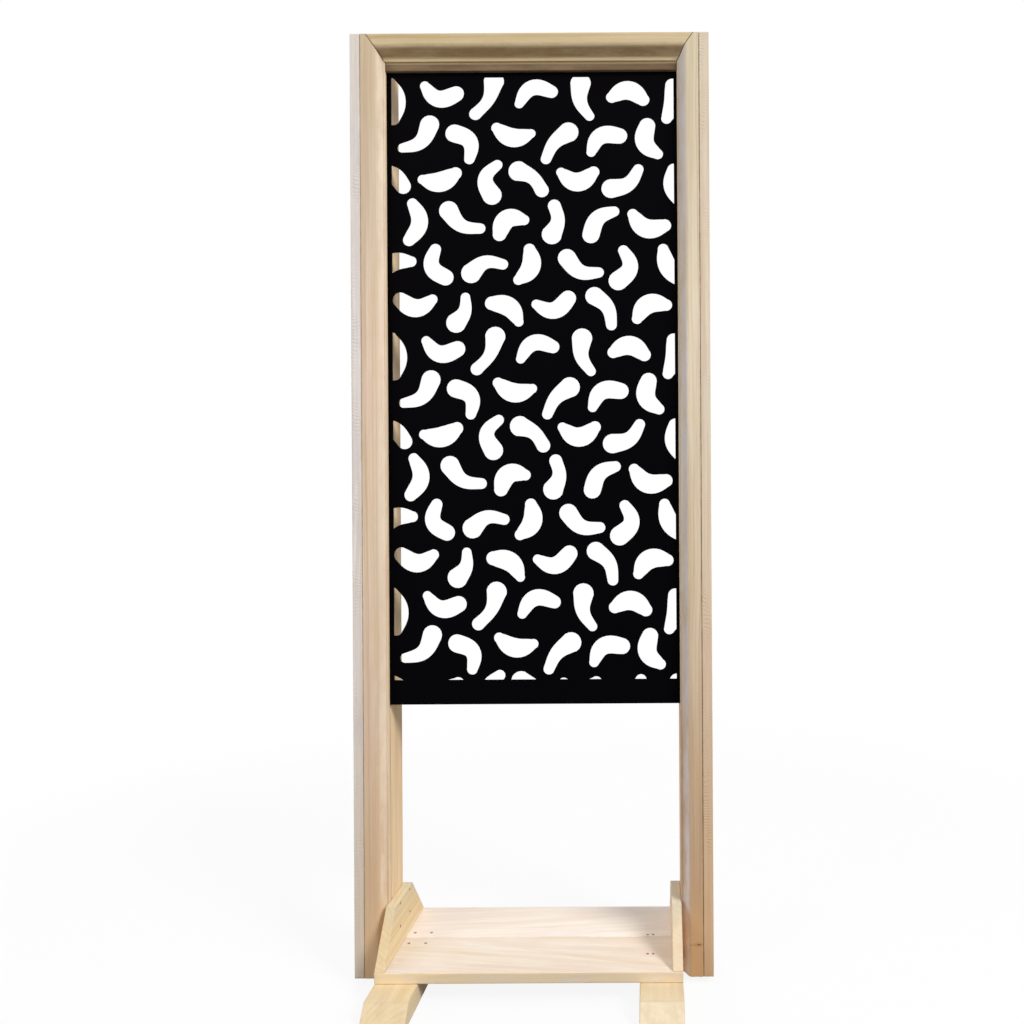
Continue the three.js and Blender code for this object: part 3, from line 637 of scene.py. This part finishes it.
# posts, head and moulding
frameShape = {
    "grooveLip": 6 * mm, "grooveWidth": 4 * mm, "grooveDepth": 34.5 * mm, "headGroove": 38.5 * mm,
    "bevelRun": 10 * mm, "bevelDrop": 16 * mm, "filletRun": 4 * mm, "arris": 7.0 * mm,
    "headArris": 10.0 * mm, "eased": 1.4 * mm, "sawn": 0.5 * mm, "rootRadius": 0.2 * mm,
    "mitreStart": 10 * mm, "mitreGap": 0.15 * mm, "bow": 0.12 * mm, "ragged": 0.3 * mm,
}
frameLooks = {
    "left_stile": {
        "grain": "z", "log": (0.3, -0.21, 0.075), "ringWidth": 0.0042, "wander": 0.014, "seed": 3.0,
        "early": (251, 224, 184), "late": (202, 160, 113), "fibre": (226, 190, 146),
        "mottle": (252, 236, 203), "mottles": 0.45, "blotch": (243, 208, 168)},
    "right_stile": {
        "grain": "z", "log": (1.3, 0.37, 0.07), "ringWidth": 0.0045, "wander": 0.014, "seed": 17.0,
        "early": (232, 200, 158), "late": (184, 141, 98), "fibre": (209, 171, 126),
        "mottle": (240, 215, 175), "mottles": 0.4, "blotch": (223, 187, 143)},
    "head_rail": {
        "grain": "x", "log": (0.2, 0.09, 1.6), "ringWidth": 0.004, "wander": 0.01, "seed": 29.0,
        "early": (228, 200, 160), "late": (186, 148, 106), "fibre": (206, 172, 130),
        "mottle": (236, 212, 176), "rings": 0.6, "fibres": 0.6, "mottles": 0.4, "streaks": 0.45,
        "blotches": 0.3, "blotch": (216, 182, 140),
        # painted shade: the lip of the head rail darkened where the head moulding above shades it
        "stainsAndPaintedLight": [{"axis": "y", "from": -0.01, "to": -0.019, "amount": 0.92, "patchy": 0.12,
                    "tint": (94, 73, 50)},
                   # painted light: the top of the lip lightened, which softens the shade line under the
                   # fillet
                   {"axis": "z", "from": 1.6725, "to": 1.6765, "amount": 0.9, "patchy": 0.1,
                    "tint": (232, 202, 158), "fadesOut": (1.679, 1.68)}]},
    "left_moulding": {
        "grain": "z", "log": (0.7, -0.215, 0.03), "ringWidth": 0.0046, "seed": 41.0,
        "early": (239, 215, 186), "late": (193, 161, 126), "fibre": (212, 184, 152),
        "mottle": (247, 232, 215), "fibres": 0.6, "streaks": 0.45, "blotches": 0.45,
        "blotch": (235, 198, 174), "joint": 0.45, "mitre": 0.75,
        "drift": [((210, 168, 122), 0.0, 0.9, 0.6),
                  ((188, 170, 138), 1.75, 1.0, 0.6),
                  # painted light: lighter low down, where the cheek and shelf shade the moulding
                  ((238, 202, 158), 0.0, 0.24, 0.6)],
        # painted highlight on the inner bevel of the left moulding
        "stainsAndPaintedLight": [{"axis": "x", "from": -0.281, "to": -0.2755, "amount": 0.6, "tint": (252, 236, 212)}]},
    "right_moulding": {
        "grain": "z", "log": (0.1, 0.375, 0.04), "ringWidth": 0.0044, "seed": 53.0,
        "early": (240, 223, 197), "late": (189, 159, 122), "fibre": (210, 182, 150),
        "mottle": (248, 238, 218), "fibres": 0.65, "streaks": 0.5, "blotches": 0.5,
        "blotch": (231, 210, 168), "joint": 0.6, "mitre": 0.75,
        "drift": [((190, 144, 100), 0.0, 1.0, 0.75),
                  ((198, 188, 158), 1.75, 1.1, 0.55),
                  # painted light: lighter low down, where the cheek and shelf shade the moulding
                  ((236, 186, 130), 0.0, 0.24, 0.6)],
        # painted light: the shaded inner bevel lightened, most near the arris and fading towards the inner
        # edge
        "stainsAndPaintedLight": [{"axis": "x", "from": 0.284, "to": 0.2795, "amount": 0.85,
                    "tint": (239, 231, 232), "fadesOut": (0.2795, 0.2635)}],
        "knots": [((0.2975, -0.045, 0.07), 0.0019, (3.0, 1.0, 1.0)),
                  ((0.28, -0.045, 0.069), 0.0008, (6.0, 1.0, 1.0))]},
    "head_moulding": {
        "grain": "x", "log": (0.5, 0.06, 1.62), "ringWidth": 0.0042, "wander": 0.014, "seed": 67.0,
        "early": (213, 191, 149), "late": (175, 145, 100), "fibre": (190, 162, 121),
        "mottle": (217, 200, 164), "fibres": 0.6, "streaks": 0.5, "blotches": 0.45,
        "blotch": (196, 172, 124), "mitre": 0.75,
        # painted shade on the downward-facing bevel of the head moulding
        "stainsAndPaintedLight": [{"axis": "y", "from": -0.0435, "to": -0.04, "amount": 0.8,
                    "tint": (160, 128, 88), "fadesOut": (-0.0312, -0.03)}]},
}


def mirrorRight(corners):
    # the same profile on the other side, in the order that keeps the wood on the left
    return [(-x, y) for x, y in reversed(corners)]


def makeStile(node, side):
    lo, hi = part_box(node)
    inner, outer = sorted((abs(lo[0]), abs(hi[0])))
    g0 = lo[1] + frameShape["grooveLip"]
    g1 = g0 + frameShape["grooveWidth"]
    gx = inner + frameShape["grooveDepth"]
    corners = [(-outer, lo[1]), (-inner, lo[1]), (-inner, g0), (-gx, g0), (-gx, g1), (-inner, g1),
               (-inner, hi[1]), (-outer, hi[1])]
    r, e, root = frameShape["eased"], frameShape["sawn"], frameShape["rootRadius"]
    radii = [e, r, e, root, root, e, r, r]
    if side > 0:
        corners, radii = mirrorRight(corners), radii[::-1]
    return sweptPiece(node + "Post", corners, radii, "z", lo[2], hi[2], ease=1.0 * mm, stations=20,
                      bow=frameShape["bow"], seed=float(side))


def makeHeadRail():
    lo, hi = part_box("head_rail")
    g0 = lo[1] + frameShape["grooveLip"]
    g1 = g0 + frameShape["grooveWidth"]
    gz = lo[2] + frameShape["headGroove"]
    corners = [(lo[1], lo[2]), (g0, lo[2]), (g0, gz), (g1, gz), (g1, lo[2]), (hi[1], lo[2]),
               (hi[1], hi[2]), (lo[1], hi[2])]
    r, e, root = frameShape["eased"], frameShape["sawn"], frameShape["rootRadius"]
    return sweptPiece("headRailBar", corners, [r, e, root, root, e, r, r, r], "x", lo[0], hi[0],
                      ease=0.6 * mm, stations=10, bow=0.05 * mm, seed=2.0)


def mouldingCorners(width, thick):
    # across from the outer edge, and back from the front face
    flat = width - frameShape["bevelRun"] - frameShape["filletRun"]
    drop, start = frameShape["bevelDrop"], frameShape["mitreStart"]
    corners = [(0, 0), (start, 0), (flat, 0), (width - frameShape["filletRun"], drop), (width, drop),
               (width, thick), (start, thick), (0, thick)]
    sawn = frameShape["sawn"]
    return corners, [0.8 * mm, 0, frameShape["arris"], 0.9 * mm, 1.2 * mm, sawn, 0, sawn]


def mitreLine():
    # Place of the mitre's upper end across and up, its slope, and its upright half gap.
    sideLo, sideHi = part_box("right_moulding")
    headLo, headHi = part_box("head_moulding")
    across = sideHi[0] - frameShape["mitreStart"]
    slope = (headHi[2] - headLo[2]) / (across - sideLo[0])
    return across, headHi[2], slope, frameShape["mitreGap"] * math.hypot(1, slope)


def makeSideMoulding(node, side):
    lo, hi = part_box(node)
    inner, outer = sorted((abs(lo[0]), abs(hi[0])))
    profile, radii = mouldingCorners(outer - inner, hi[1] - lo[1])
    corners = [(-outer + a, lo[1] + b) for a, b in profile]
    if side > 0:
        corners, radii = mirrorRight(corners), radii[::-1]
    across, top, slope, gap = mitreLine()
    mitre = lambda x, y: np.minimum(top, top - (across - np.abs(x)) * slope - gap)
    ragged = frameShape["ragged"] if side > 0 else 0.0
    return sweptPiece(node + "Trim", corners, radii, "z", lo[2], mitre, ease=0.5 * mm, stations=20,
                      bow=frameShape["bow"], seed=3.0 + side, ragged=ragged, fold=(1, 6))


def makeHeadMoulding():
    # the side's section, stretched so that both meet on the mitre, and cut level at the top
    lo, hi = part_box("head_moulding")
    sideLo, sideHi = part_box("right_moulding")
    profile, radii = mouldingCorners(sideHi[0] - sideLo[0], hi[1] - lo[1])
    across, top, slope, gap = mitreLine()
    corners = [(lo[1] + b, hi[2] - (a - frameShape["mitreStart"]) * slope) for a, b in profile[1:7]]
    left = lambda y, z: -across + (top - z) / slope + gap / slope
    right = lambda y, z: across - (top - z) / slope - gap / slope
    radii = radii[:1] + [frameShape["headArris"]] + radii[3:6] + [frameShape["sawn"]]
    return sweptPiece("headTrim", corners, radii, "x", left, right,
                      ease=0.5 * mm, stations=12, bow=0.06 * mm, seed=5.0)


for side, label in ((-1, "left"), (1, "right")):
    fit(makeStile(label + "_stile", side), label + "_stile",
        timber(label + "PostPine", frameLooks[label + "_stile"]), "frame_wood")
    fit(makeSideMoulding(label + "_moulding", side), label + "_moulding",
        timber(label + "TrimPine", frameLooks[label + "_moulding"]), "frame_wood")
fit(makeHeadRail(), "head_rail", timber("headRailPine", frameLooks["head_rail"]), "frame_wood")
fit(makeHeadMoulding(), "head_moulding", timber("headTrimPine", frameLooks["head_moulding"]), "frame_wood")
print("frame made")

# plain boards: side boards, shelf, cheeks and feet
boardShape = {"sideEased": 1.1 * mm, "shelfEased": 1.6 * mm, "cheekEased": 1.8 * mm,
              "footEased": 2.2 * mm, "tipEased": 0.5 * mm, "footLand": 148 * mm}
boardLooks = {
    "left_side_board": {
        "grain": "z", "log": (0.0, -0.24, 0.05), "ringWidth": 0.005, "seed": 71.0,
        "early": (247, 239, 235), "late": (211, 194, 177), "fibre": (231, 218, 206),
        "mottle": (227, 221, 218), "rings": 0.55, "mottles": 0.6, "blotches": 0.55,
        "blotch": (211, 204, 206), "joint": 0.35, "bump": 0.6,
        "saw": {"pitch": 0.0062, "amount": 0.3, "tint": (214, 202, 182)},
        "drift": [((222, 198, 168), 0.0, 0.75, 0.6), ((204, 196, 184), 1.75, 1.2, 0.45)],
        "knots": [((-0.3243, 0.012, 0.63), 0.0042, (1.0, 1.0, 1.9)),
                  ((-0.3243, -0.021, 1.24), 0.0026, (1.0, 1.0, 1.6))]},
    "right_side_board": {
        "grain": "z", "log": (0.9, 0.4, 0.06), "ringWidth": 0.0048, "wander": 0.018, "seed": 83.0,
        "early": (237, 220, 194), "late": (194, 163, 127), "fibre": (215, 187, 155),
        "mottle": (235, 224, 207), "rings": 0.6, "mottles": 0.55, "streaks": 0.45, "blotches": 0.5,
        "blotch": (223, 191, 170), "joint": 0.5, "bump": 0.55,
        "saw": {"pitch": 0.0058, "amount": 0.18, "tint": (196, 164, 130)},
        "drift": [((222, 178, 132), 0.0, 0.95, 0.7), ((204, 194, 176), 1.75, 1.2, 0.5)],
        "knots": [((0.3243, 0.018, 1.06), 0.0046, (1.0, 1.0, 1.8)),
                  ((0.3243, -0.008, 0.33), 0.0024, (1.0, 1.0, 1.7))]},
    "shelf_front_board": {
        "grain": "x", "log": (0.4, -0.02, -0.035), "tilt": (0.0, 0.03, 0.09), "ringWidth": 0.0085,
        "wander": 0.03, "seed": 97.0, "early": (239, 226, 210), "late": (215, 186, 152),
        "fibre": (227, 207, 182), "mottle": (242, 233, 222), "rings": 0.42, "fibres": 0.45,
        "mottles": 0.6, "streaks": 0.35, "blotches": 0.65, "blotch": (230, 209, 192),
        # painted light: the front face of the shelf kept lighter and yellower than its top
        "stainsAndPaintedLight": [{"axis": "y", "from": -0.102, "to": -0.1036, "amount": 0.75,
                    "tint": (250, 224, 178)}]},
    "shelf_rear_board": {
        "grain": "x", "log": (1.1, 0.1, -0.05), "tilt": (0.0, -0.02, -0.05), "ringWidth": 0.0095,
        "wander": 0.03, "seed": 101.0, "early": (248, 236, 223), "late": (228, 204, 175),
        "fibre": (238, 220, 198), "mottle": (250, 242, 236), "rings": 0.4, "fibres": 0.45,
        "mottles": 0.6, "streaks": 0.35, "blotches": 0.65, "blotch": (240, 222, 213)},
    "left_cheek": {
        "grain": "y", "log": (0.2, 0.19, -0.2), "ringWidth": 0.007, "seed": 113.0,
        "early": (242, 221, 179), "late": (213, 178, 126), "fibre": (229, 201, 155),
        "mottle": (244, 229, 194), "rings": 0.65, "fibres": 0.5, "mottles": 0.45, "streaks": 0.35,
        "blotch": (231, 209, 159), "end": (228, 199, 153),
        "stainsAndPaintedLight": [{"axis": "z", "from": 0.106, "to": 0.142, "amount": 0.6, "tint": (200, 190, 168)}]},
    "right_cheek": {
        "grain": "y", "log": (0.8, 0.22, 0.31), "ringWidth": 0.0065, "seed": 127.0,
        "early": (242, 221, 192), "late": (213, 179, 136), "fibre": (229, 201, 165),
        "mottle": (245, 231, 211), "rings": 0.65, "fibres": 0.5, "mottles": 0.45, "streaks": 0.35,
        "blotch": (233, 209, 173), "end": (240, 216, 180),
        "stainsAndPaintedLight": [{"axis": "z", "from": 0.104, "to": 0.142, "amount": 0.65, "tint": (196, 188, 168)}]},
    "left_foot": {
        "grain": "y", "log": (0.1, -0.03, -0.19), "ringWidth": 0.008, "wander": 0.025, "seed": 131.0,
        "early": (239, 219, 182), "late": (205, 170, 123), "fibre": (223, 195, 152),
        "mottle": (242, 227, 196), "rings": 0.35, "fibres": 0.5, "mottles": 0.55, "streaks": 0.35,
        "blotches": 0.7, "blotch": (225, 199, 148), "end": (218, 188, 142),
        # painted light: the foot lightened below its top, where its ends slope
        "stainsAndPaintedLight": [{"axis": "z", "from": 0.0375, "to": 0.034, "amount": 0.35, "tint": (250, 230, 196)}]},
    "right_foot": {
        "grain": "y", "log": (0.6, -0.02, 0.21), "ringWidth": 0.0075, "wander": 0.025, "seed": 139.0,
        "early": (229, 209, 174), "late": (197, 163, 119), "fibre": (214, 186, 147),
        "mottle": (233, 219, 190), "rings": 0.35, "fibres": 0.5, "mottles": 0.55, "streaks": 0.35,
        "blotches": 0.75, "blotch": (221, 199, 156), "end": (222, 194, 152),
        # painted light: the foot lightened below its top, where its ends slope
        "stainsAndPaintedLight": [{"axis": "z", "from": 0.0375, "to": 0.034, "amount": 0.6, "tint": (252, 238, 210)}]},
}


def rectangle(a0, a1, b0, b1):
    return [(a0, b0), (a1, b0), (a1, b1), (a0, b1)]


def makeSideBoard(node, side):
    lo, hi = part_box(node)
    return sweptPiece(node + "Outer", rectangle(lo[0], hi[0], lo[1], hi[1]),
                      [boardShape["sideEased"]] * 4, "z", lo[2], hi[2], ease=1.0 * mm, stations=24,
                      bow=0.14 * mm, seed=7.0 + side)


def makeShelfBoard(node, seed):
    lo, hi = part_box(node)
    return sweptPiece(node + "Top", rectangle(lo[1], hi[1], lo[2], hi[2]),
                      [boardShape["shelfEased"]] * 4, "x", lo[0], hi[0], ease=1.2 * mm, stations=14,
                      bow=0.08 * mm, seed=seed)


def makeSloped(node, suffix, land, eased, ease, stations):
    # both ends slope down from a level top that reaches land to the front and to the rear
    lo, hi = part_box(node)
    corners = [(lo[1], lo[2]), (hi[1], lo[2]), (land, hi[2]), (-land, hi[2])]
    return sweptPiece(node + suffix, corners, [boardShape["tipEased"]] * 2 + [eased] * 2, "x",
                      lo[0], hi[0], ease=ease, stations=stations)


def makeCheek(node):
    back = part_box("left_stile")[1][1]
    return makeSloped(node, "Gusset", back, boardShape["cheekEased"], 1.3 * mm, 4)


def makeFoot(node):
    return makeSloped(node, "Rail", boardShape["footLand"], boardShape["footEased"], 1.8 * mm, 6)


for side, label in ((-1, "left"), (1, "right")):
    for node, piece, slotName in (
            (label + "_side_board", makeSideBoard(label + "_side_board", side), "board_wood"),
            (label + "_cheek", makeCheek(label + "_cheek"), "shelf_wood"),
            (label + "_foot", makeFoot(label + "_foot"), "foot_wood")):
        fit(piece, node, timber(piece.name + "Pine", boardLooks[node]), slotName)
for node, seed in (("shelf_front_board", 1.0), ("shelf_rear_board", 4.0)):
    piece = makeShelfBoard(node, seed)
    fit(piece, node, timber(piece.name + "Pine", boardLooks[node]), "shelf_wood")
print("boards made")

# nails, pins and screws
nailLook = {"steel": (148, 128, 106), "rust": (124, 92, 66), "proud": 0.3 * mm, "sides": 28}
screwLook = {"zinc": (178, 174, 160), "shade": (120, 112, 96), "proud": 0.15 * mm, "sides": 48,
             "slot": 0.55 * mm, "slotReach": 2.3 * mm, "slotDepth": 1.3 * mm, "faceReach": 3.1 * mm}


def turnedPiece(name, lo, hi, direction, proud, radii, heights, look):
    # A profile of radius and height turned round the fastener's axis. Inside a screw's
    # recess the face drops where a point lies within either arm of a cross.
    d = np.array(direction, float)
    centre = (lo + hi) / 2
    face = np.where(d > 0, lo, np.where(d < 0, hi, centre)) - d * proud
    side = np.array([0, 1, 0]) if abs(d[1]) < 0.5 else np.array([1, 0, 0])
    other = np.cross(side, -d)
    r = np.asarray(radii)[:, None]
    a = np.linspace(0, 2 * np.pi, look["sides"], endpoint=False)[None, :]
    p, q = r * np.cos(a), r * np.sin(a)
    h = np.asarray(heights)[:, None] + 0 * a
    if "slot" in look:
        fade = lambda away, limit, soft: 1 - np.clip((np.abs(away) - limit) / soft, 0, 1)
        arms = [fade(wide, look["slot"], 0.35 * mm) * fade(long, look["slotReach"], 0.4 * mm)
                for wide, long in ((p, q), (q, p))]
        onFace = (r < look["faceReach"]) & (np.asarray(heights)[:, None] > -0.5 * mm)
        inside = np.maximum(*arms) * onFace
        h = h - look["slotDepth"] * inside * (1 - 0.5 * r / look["slotReach"]).clip(0, 1)
    grid = face + p[..., None] * side + q[..., None] * other - h[..., None] * d
    m, n = grid.shape[:2]
    faces = gridFaces(m, n, turned=True)
    faces += [list(range(n)), list(range(m * n - 1, (m - 1) * n - 1, -1))]
    return makeMesh(name, grid.reshape(-1, 3), faces, sharpAt=50.0)


def metalMaterial(name, base, shade, metallic, lo, hi):
    material, t = newMaterial(name)
    at = put(t, "ShaderNodeTexCoord").outputs["Object"]
    cloud = noise(t, at, 900.0, 3.0, 0.6).outputs[0]
    mask = spread(t, cloud, 0.42, 0.62)
    color = blendColor(t, mask, fromSrgb(*base), fromSrgb(*shade))
    surface(t, color, spread(t, cloud, 0.3, 0.7, lo, hi), cloud, 0.2, 0.2 * mm, metallic=metallic)
    return material


nailMaterial = metalMaterial("dullNailSteel", nailLook["steel"], nailLook["rust"], 0.6, 0.45, 0.65)
screwMaterial = metalMaterial("zincScrewSteel", screwLook["zinc"], screwLook["shade"], 1.0, 0.3, 0.5)


def nailProfile(head, length):
    # a slightly crowned head, its rim, the taper under it, and the shank
    shank = head / 2
    radii = [0.05 * mm, head * 0.25, head * 0.4, head * 0.47, head / 2, head / 2, shank / 2, shank / 2,
             0.05 * mm]
    heights = [0.16 * mm, 0.12 * mm, 0.05 * mm, -0.06 * mm, -0.3 * mm, -1.2 * mm,
               -1.2 * mm - (head - shank) / 2, -length + 3 * mm, -length]
    return radii, heights


def screwProfile(length):
    faceRadii = np.linspace(0.05, 3.5, 15) * mm
    radii = list(faceRadii) + [3.85 * mm, 4.0 * mm, 3.9 * mm, 2.2 * mm, 2.2 * mm, 0.05 * mm]
    heights = [0.0] * 15 + [-0.05 * mm, -0.25 * mm, -0.5 * mm, -3.5 * mm, -length + 4 * mm, -length]
    return radii, heights


# How many there are of each kind, half of them at each side. Then the way they point, where the
# first number counts away from the middle, and how far they stand proud.
fasteners = {
    "shelf_nail": (8, (0, 0, -1), nailLook["proud"]), "cheek_nail": (8, (1, 0, 0), nailLook["proud"]),
    "panel_pin": (6, (0, 1, 0), 0.0), "head_screw": (4, (-1, 0, 0), 0.0),
    "board_screw": (6, (-1, 0, 0), screwLook["proud"]), "foot_screw": (4, (-1, 0, 0), screwLook["proud"]),
}
for kind, (total, (outwards, back, up), proud) in fasteners.items():
    for i in range(1, total + 1):
        node = f"{kind}_{i}"
        side = -1 if i <= total / 2 else 1
        lo, hi = (np.array(c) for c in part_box(node))
        head, length = float((hi - lo).min()), float((hi - lo).max())
        if kind.endswith("screw"):
            profile, look, metal = screwProfile(length), screwLook, (screwMaterial, "screw_steel")
        else:
            profile, look, metal = nailProfile(head, length), nailLook, (nailMaterial, "nail_steel")
        piece = turnedPiece(node + "Head", lo, hi, (outwards * side, back, up), proud, *profile, look)
        fit(piece, node, *metal)
print("fasteners made")

# floor, light and camera
studio = {
    "floor": (0.86, 0.86, 0.87), "floorBounce": (0.2, 0.18, 0.16), "floorWhite": 0.9,
    "floorFade": (1.1, 2.2), "ambient": 0.33,
    "camera": (0.216, -1.3425, 0.8157), "focalPixels": 718.9, "centre": (651.45, 531.85),
    "imageWidth": 1024.0, "roll": 0.322,  # pixels, degrees
    "lamps": [  # place, aimed at, width, watts
        ("keyLamp", (3.8, -2.95, 4.7), (0.0, 0.0, 0.8), 2.0, 300.0),
        ("fillLamp", (-3.0, -2.3, 1.9), (0.0, 0.0, 0.8), 2.4, 50.0),
        ("topLamp", (0.1, -0.3, 4.2), (0.0, 0.0, 0.0), 1.6, 14.0),
        ("rearLamp", (-0.9, 3.2, 2.6), (0.0, 0.0, 0.8), 2.2, 36.0),
    ],
}


def makeFloor():
    # a flat disc: radius and angle on a grid
    rings, sides, reach = 12, 64, 6.0
    r = np.linspace(0.02, 1, rings)[:, None] ** 1.5 * reach
    a = np.linspace(0, 2 * np.pi, sides, endpoint=False)[None, :]
    points = np.stack([r * np.cos(a), r * np.sin(a), 0 * r + 0 * a - 0.0002], -1).reshape(-1, 3)
    faces = gridFaces(rings, sides, turned=True) + [list(range(sides))]
    floor = makeMesh("studioFloor", points, faces)
    material, t = newMaterial("paleFloor")
    at = put(t, "ShaderNodeTexCoord").outputs["Object"]
    far = spread(t, vecCalc(t, "LENGTH", at), *studio["floorFade"])
    path = put(t, "ShaderNodeLightPath").outputs
    seen = calc(t, "MAXIMUM", path["Is Camera Ray"], path["Is Glossy Ray"])
    soft = noise(t, at, 3.0, 3.0).outputs[0]
    pale = blendColor(t, soft, (*studio["floor"], 1.0), tuple(c * 0.985 for c in studio["floor"]) + (1.0,))
    tone = blendColor(t, path["Is Diffuse Ray"], pale, (*studio["floorBounce"], 1.0))
    matt = put(t, "ShaderNodeBsdfPrincipled", {"Base Color": tone, "Roughness": 0.9,
                                               "Specular IOR Level": 0.1}).outputs[0]
    white = put(t, "ShaderNodeEmission", {"Color": (1, 1, 1, 1), "Strength": 1.0}).outputs[0]
    share = plus(t, studio["floorWhite"], times(t, far, 1 - studio["floorWhite"]))
    mixed = put(t, "ShaderNodeMixShader", {0: times(t, seen, share), 1: matt, 2: white})
    put(t, "ShaderNodeOutputMaterial", {"Surface": mixed.outputs[0]})
    floor.data.materials.append(material)


def makeWorld():
    world = bpy.data.worlds.new("softStudio")
    bpy.context.scene.world = world
    world.use_nodes = True
    t = world.node_tree
    t.nodes.clear()
    path = put(t, "ShaderNodeLightPath").outputs
    seen = calc(t, "MAXIMUM", path["Is Camera Ray"], calc(t, "MAXIMUM", path["Is Glossy Ray"],
                                                          path["Is Transmission Ray"]))
    room = put(t, "ShaderNodeBackground", {"Color": (0.95, 0.97, 1.0, 1), "Strength": studio["ambient"]})
    white = put(t, "ShaderNodeBackground", {"Color": (1, 1, 1, 1), "Strength": 1.0})
    mixed = put(t, "ShaderNodeMixShader", {0: seen, 1: room.outputs[0], 2: white.outputs[0]})
    put(t, "ShaderNodeOutputWorld", {"Surface": mixed.outputs[0]})


def makeLamps():
    for name, place, target, width, watts in studio["lamps"]:
        lamp = bpy.data.lights.new(name, "AREA")
        lamp.shape, lamp.size, lamp.energy = "SQUARE", width, watts
        holder = bpy.data.objects.new(name, lamp)
        holder.location = place
        holder.rotation_euler = (Vector(target) - Vector(place)).to_track_quat("-Z", "Y").to_euler()
        bpy.context.scene.collection.objects.link(holder)


def makeCamera():
    # one-point view: the lens looks straight along +Y and the frame is slid sideways
    width = studio["imageWidth"]
    camera = bpy.data.cameras.new("photoView")
    camera.sensor_width = 36.0
    camera.lens = studio["focalPixels"] / width * camera.sensor_width
    camera.shift_x = (width / 2 - studio["centre"][0]) / width
    camera.shift_y = (studio["centre"][1] - width / 2) / width
    camera.clip_start = 0.05
    holder = bpy.data.objects.new("photoView", camera)
    holder.location = studio["camera"]
    holder.rotation_euler = (math.pi / 2, math.radians(studio["roll"]), 0)
    bpy.context.scene.collection.objects.link(holder)
    bpy.context.scene.camera = holder


makeFloor()
makeWorld()
makeLamps()
makeCamera()
bpy.context.scene.view_settings.view_transform = "Standard"
print("studio made")
